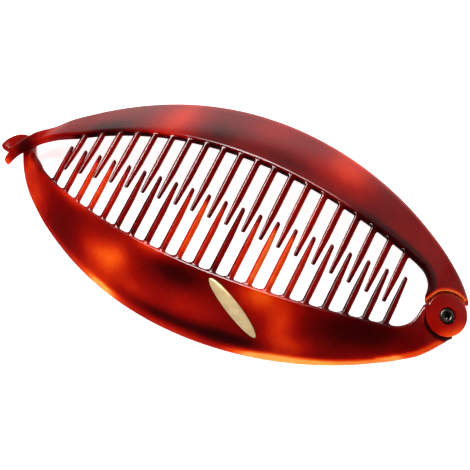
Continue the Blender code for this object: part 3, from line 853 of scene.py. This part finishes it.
def gloss_at(point, side, upward):
    """How strongly a point mirrors: full on the outer skin and the teeth's ridges, and faint on
    the walls and sides, which the mould leaves dull. upward is the height of its unit normal."""
    x, y, _ = point
    full = 1.0 - HOOK_SIDE_DULL * smooth(-x, *HOOK_SIDE) - TIP_DULL * smooth(-x, *TIP_SIDE)
    if abs(x) >= REACH + TOOTH_MARGIN:
        return full
    inner, outer = power_sum(WINDOW, x), power_sum(OUTLINE, x)
    facing = smooth(upward, *UPWARD)
    if side * y < inner - GLOSS_START:
        offset = tooth_offset(x, y, side)
        ridge = smooth(offset, *RIDGE_LEFT) * fade(offset, *RIDGE_RIGHT)
        share = LOWER_RIDGE if side < 0 else 1.0
        return DULL + (1 - DULL) * share * ridge * facing
    if side * y > (inner + outer) / 2:
        return full
    return full * (DULL + (1 - DULL) * facing)


def store_looks(half, base, side):
    """Writes the glow and the gloss of each point of a half, which its material reads."""
    mesh = half.data
    glows, glosses = [], []
    for vertex, normal in zip(mesh.vertices, mesh.vertex_normals):
        place = (vertex.co - base) / MM
        glows.append(glow_at(place, side))
        glosses.append(gloss_at(place, side, normal.vector.z))
    for name, values in (("glow", glows), ("gloss", glosses)):
        mesh.attributes.new(name, "FLOAT", "POINT").data.foreach_set("value", values)


def linear(color):
    """An sRGB colour, 0 to 255, as linear light."""
    shares = [part / 255 for part in color]
    return [s / 12.92 if s <= 0.04045 else ((s + 0.055) / 1.055) ** 2.4 for s in shares]


def add_node(tree, kind, **settings):
    node = tree.nodes.new(kind)
    for name, value in settings.items():
        setattr(node, name, value)
    return node


def add_noise(tree, scale, detail=3.0, distortion=0.0):
    """Noise over the object's own coordinates. scale is in features per metre."""
    place = add_node(tree, "ShaderNodeTexCoord")
    noise = add_node(tree, "ShaderNodeTexNoise")
    noise.inputs["Scale"].default_value = scale
    noise.inputs["Detail"].default_value = detail
    noise.inputs["Distortion"].default_value = distortion
    tree.links.new(place.outputs["Object"], noise.inputs["Vector"])
    return noise.outputs["Fac"]


def add_scaled(tree, value, factor, offset):
    """value times factor plus offset."""
    node = add_node(tree, "ShaderNodeMath", operation="MULTIPLY_ADD")
    tree.links.new(value, node.inputs[0])
    node.inputs[1].default_value = factor
    node.inputs[2].default_value = offset
    return node.outputs[0]


def add_sum(tree, first, second):
    node = add_node(tree, "ShaderNodeMath", operation="ADD")
    tree.links.new(first, node.inputs[0])
    tree.links.new(second, node.inputs[1])
    return node.outputs[0]


def add_ramp(tree, value, stops):
    """A colour ramp over (place, sRGB colour) stops."""
    ramp = add_node(tree, "ShaderNodeValToRGB")
    elements = ramp.color_ramp.elements
    while len(elements) < len(stops):
        elements.new(1.0)
    for element, (place, color) in zip(elements, stops):
        element.position = place
        element.color = (*linear(color), 1.0)
    tree.links.new(value, ramp.inputs["Fac"])
    return ramp.outputs["Color"]


def new_material(name):
    material = bpy.data.materials.new(name)
    material.use_nodes = True
    return material, material.node_tree, material.node_tree.nodes["Principled BSDF"]


def make_tortoiseshell(name, mottle):
    """Polished plastic whose colour runs from near black over red to orange with the glow."""
    material, tree, shader = new_material(name)
    glow = add_node(tree, "ShaderNodeAttribute", attribute_name="glow").outputs["Fac"]
    clouds = add_scaled(tree, add_noise(tree, CLOUD_SCALE, 4.0, 0.6), mottle, -mottle / 2)
    grain = add_scaled(tree, add_noise(tree, GRAIN_SCALE, 2.0), GRAIN, -GRAIN / 2)
    total = add_sum(tree, add_sum(tree, glow, clouds), grain)
    share = add_scaled(tree, total, 1 / GLOW_TOP, 0.0)
    stops = [(place / GLOW_TOP, color) for place, color in GLOW_COLORS]
    tree.links.new(add_ramp(tree, share, stops), shader.inputs["Base Color"])
    worn = add_scaled(tree, add_noise(tree, ROUGHNESS_SCALE), ROUGHNESS_SPREAD, ROUGHNESS)
    tree.links.new(worn, shader.inputs["Roughness"])
    gloss = add_node(tree, "ShaderNodeAttribute", attribute_name="gloss").outputs["Fac"]
    specular = add_scaled(tree, gloss, PLASTIC_SPECULAR, 0.0)
    tree.links.new(specular, shader.inputs["Specular IOR Level"])
    shader.inputs["IOR"].default_value = PLASTIC_IOR
    shader.inputs["Subsurface Weight"].default_value = 1.0
    shader.inputs["Subsurface Radius"].default_value = SCATTER_RADIUS
    shader.inputs["Subsurface Scale"].default_value = SCATTER_SCALE
    return material


def make_metal(name, dark, light, roughness, scale, metallic):
    material, tree, shader = new_material(name)
    stops = list(zip(METAL_STOPS, (dark, light)))
    tree.links.new(add_ramp(tree, add_noise(tree, scale), stops), shader.inputs["Base Color"])
    worn = add_scaled(tree, add_noise(tree, 2 * scale), METAL_WEAR, roughness - METAL_WEAR / 2)
    tree.links.new(worn, shader.inputs["Roughness"])
    shader.inputs["Metallic"].default_value = metallic
    return material


# ---- Rivet, washer and ornament -----------------------------------------------------------


def make_rivet(base):
    """A tubular rivet whose hollow end is rolled over as a smooth ring."""
    head_top = LUG_FOOT + HEAD_THICK
    roll_low = -RECESS_DEPTH + WASHER_THICK + 2 * SEAT_GAP
    middle = (BORE_RADIUS + ROLL_RADIUS) / 2
    half_width, half_height = (ROLL_RADIUS - BORE_RADIUS) / 2, ROLL_HEIGHT / 2
    profile = [(0.0, LUG_FOOT), (HEAD_RADIUS - 0.2, LUG_FOOT), (HEAD_RADIUS - 0.06, LUG_FOOT + 0.06)]
    profile += [(HEAD_RADIUS, LUG_FOOT + 0.2), (HEAD_RADIUS, head_top), (SHANK_RADIUS, head_top)]
    profile += [(SHANK_RADIUS, roll_low)]
    steps = 3 * ARC_STEPS
    for i in range(1, steps + 1):
        angle = math.radians(-70.0 + 250.0 * i / steps)
        height = roll_low + half_height + half_height * math.sin(angle)
        profile.append((middle + half_width * math.cos(angle), height))
    profile += [(BORE_RADIUS, -LUG_THICK + 0.2), (BORE_RADIUS - 0.1, -LUG_THICK)]
    profile += [(BORE_RADIUS / 2, -LUG_THICK - 0.1), (0.0, -LUG_THICK - 0.12)]
    builder = bmesh.new()
    add_turned(builder, profile, hinge_frame())
    rivet = add_object("rolled_rivet", builder, base)
    shade(rivet)
    return rivet


def make_washer(base):
    low = -RECESS_DEPTH + SEAT_GAP
    high = low + WASHER_THICK
    hole = SHANK_RADIUS + BORE_CLEARANCE
    edge = 0.06
    section = (
        (hole, low), (WASHER_RADIUS - edge, low), (WASHER_RADIUS, low + edge),
        (WASHER_RADIUS, high - edge), (WASHER_RADIUS - edge, high), (hole, high),
    )
    builder = bmesh.new()
    loops = []
    for i in range(ROUND_SEGMENTS):
        turn = Matrix.Rotation(2 * math.pi * i / ROUND_SEGMENTS, 4, "Z")
        places = [hinge_frame() @ turn @ Vector((x, 0.0, z)) for x, z in section]
        loops.append([builder.verts.new(place) for place in places])
    for i, near in enumerate(loops):
        far = loops[(i + 1) % len(loops)]
        for j in range(len(section)):
            k = (j + 1) % len(section)
            builder.faces.new((near[j], near[k], far[k], far[j]))
    washer = add_object("washer_ring", builder, base)
    shade(washer)
    return washer


def lower_skin(x, y):
    inner, outer = power_sum(WINDOW, x), power_sum(OUTLINE, x)
    return skin_height(x, (-y - inner) / (outer - inner))


def make_ornament(base):
    """A slender oval bar with a domed top that follows the lower half's band."""
    turn = Matrix.Rotation(ORNAMENT_TURN, 2)
    rings = []
    for i in range(1, ORNAMENT_STEPS):
        along = -math.cos(math.pi * i / ORNAMENT_STEPS)
        bulge = 1 - along * along
        half = ORNAMENT_WIDTH / 2 * math.sqrt(bulge)
        rise = ORNAMENT_THICK * (ORNAMENT_END_RISE + (1 - ORNAMENT_END_RISE) * bulge)
        section = [(-1 + 2 * j / ORNAMENT_ACROSS, 0.0) for j in range(ORNAMENT_ACROSS + 1)]
        for j in range(ORNAMENT_ACROSS + 1):
            angle = math.pi * j / ORNAMENT_ACROSS
            section.append((math.cos(angle), ORNAMENT_SIDE + (1 - ORNAMENT_SIDE) * math.sin(angle)))
        ring = []
        for share, lift in section:
            place = turn @ Vector((along * ORNAMENT_LENGTH / 2, share * half))
            x, y = ORNAMENT_AT[0] + place.x, ORNAMENT_AT[1] + place.y
            ring.append((x, y, lower_skin(x, y) + GAP + lift * rise))
        rings.append(ring)
    builder = bmesh.new()
    add_loft(builder, rings)
    ornament = add_object("gold_bar", builder, base)
    shade(ornament, 50.0)
    return ornament


# ---- Studio -------------------------------------------------------------------------------


def grey_stops(stops):
    return [(place, (grey,) * 3) for place, grey in stops]


def make_floor():
    """A white floor that the plastic does not mirror."""
    builder = bmesh.new()
    bmesh.ops.create_grid(builder, x_segments=8, y_segments=8, size=FLOOR_SIZE)
    mesh = bpy.data.meshes.new("floor")
    builder.to_mesh(mesh)
    builder.free()
    floor = bpy.data.objects.new("floor", mesh)
    bpy.context.scene.collection.objects.link(floor)
    floor.location.z = -FLOOR_DROP
    material, tree, shader = new_material("white_floor")
    white = add_ramp(tree, add_noise(tree, 3.0), grey_stops(FLOOR_GREYS))
    tree.links.new(white, shader.inputs["Base Color"])
    shader.inputs["Roughness"].default_value = FLOOR_ROUGHNESS
    shader.inputs["Specular IOR Level"].default_value = 0.0
    shader.inputs["Emission Color"].default_value = (1.0, 1.0, 1.0, 1.0)
    shader.inputs["Emission Strength"].default_value = FLOOR_GLOW
    mesh.materials.append(material)
    floor.visible_glossy = False


def make_world():
    """A studio whose walls are pale behind the clip and dim in front, under a dark ceiling. What
    is seen beyond the floor is a plain pale backdrop."""
    world = bpy.data.worlds.new("studio")
    bpy.context.scene.world = world
    world.use_nodes = True
    tree = world.node_tree
    direction = add_node(tree, "ShaderNodeTexCoord")
    split = add_node(tree, "ShaderNodeSeparateXYZ")
    tree.links.new(direction.outputs["Generated"], split.inputs[0])
    walls = add_ramp(tree, split.outputs["Z"], grey_stops(WALL_GREYS))
    side = add_ramp(tree, split.outputs["Y"], grey_stops(DEPTH_GREYS))
    mix = add_node(tree, "ShaderNodeMix", data_type="RGBA", blend_type="MULTIPLY")
    mix.inputs["Factor"].default_value = 1.0
    tree.links.new(walls, mix.inputs["A"])
    tree.links.new(side, mix.inputs["B"])
    seen = add_node(tree, "ShaderNodeMix", data_type="RGBA")
    path = add_node(tree, "ShaderNodeLightPath")
    tree.links.new(path.outputs["Is Camera Ray"], seen.inputs["Factor"])
    tree.links.new(mix.outputs["Result"], seen.inputs["A"])
    seen.inputs["B"].default_value = (*linear(BACKDROP_COLOR), 1.0)
    tree.links.new(seen.outputs["Result"], tree.nodes["Background"].inputs["Color"])


def add_light(name, direction, distance, size, power, target):
    """A rectangular soft light that shines on the target from a direction."""
    data = bpy.data.lights.new(name, "AREA")
    data.shape = "RECTANGLE"
    data.size, data.size_y = size
    data.energy = power
    light = bpy.data.objects.new(name, data)
    bpy.context.scene.collection.objects.link(light)
    toward = Vector(direction).normalized()
    light.location = target + toward * distance
    light.rotation_euler = toward.to_track_quat("Z", "Y").to_euler()
    return light


def make_camera(target):
    back = Vector((
        math.sin(CAMERA_AZIMUTH) * math.cos(CAMERA_ELEVATION),
        -math.cos(CAMERA_AZIMUTH) * math.cos(CAMERA_ELEVATION),
        math.sin(CAMERA_ELEVATION),
    ))
    right = Vector((math.cos(CAMERA_AZIMUTH), math.sin(CAMERA_AZIMUTH), 0.0))
    up = back.cross(right)
    roll = Matrix.Rotation(-CAMERA_ROLL, 4, back)
    axes = Matrix((roll @ right, roll @ up, back)).transposed()
    data = bpy.data.cameras.new("camera")
    data.sensor_width = CAMERA_SENSOR
    data.lens = CAMERA_LENS
    data.shift_x, data.shift_y = CAMERA_SHIFT
    data.clip_start = 0.01
    camera = bpy.data.objects.new("camera", data)
    bpy.context.scene.collection.objects.link(camera)
    camera.matrix_world = Matrix.Translation(target + back * CAMERA_DISTANCE) @ axes.to_4x4()
    bpy.context.scene.camera = camera


def dress(piece, body, node, material):
    """Gives a piece its material and its body, and hides the CAD node that it stands for."""
    piece.data.materials.clear()
    piece.data.materials.append(material)
    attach(piece, body)
    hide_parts(node)


def main():
    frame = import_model()
    hinge = Vector(frame["record"]["behaviour"]["joints"][0]["pos_m"])
    base = hinge - HINGE_AT * MM

    lower = make_lower_half(base)
    upper = make_upper_half(base)
    for half, side in ((lower, -1), (upper, 1)):
        store_looks(half, base, side)
        shade(half)
    lower_shell = make_tortoiseshell("lower_shell_look", LOWER_MOTTLE)
    upper_shell = make_tortoiseshell("upper_shell_look", UPPER_MOTTLE)
    dress(lower, "lower", "lower_half", lower_shell)
    dress(upper, "upper", "upper_half", upper_shell)
    steel = make_metal("rivet_look", *RIVET_STEEL)
    dark_steel = make_metal("washer_look", *WASHER_STEEL)
    gold = make_metal("ornament_look", *BAR_GOLD)
    dress(make_rivet(base), "lower", "hinge_rivet", steel)
    dress(make_washer(base), "lower", "rivet_washer", dark_steel)
    dress(make_ornament(base), "lower", "ornament_bar", gold)

    make_floor()
    make_world()
    add_light("softbox", *SOFTBOX, base)
    fill = add_light("fill", *FILL, base)
    fill.visible_glossy = False
    strip = add_light("strip", *STRIP, base)
    strip.visible_diffuse = False
    make_camera(base)
    bpy.context.scene.view_settings.view_transform = "Standard"


main()
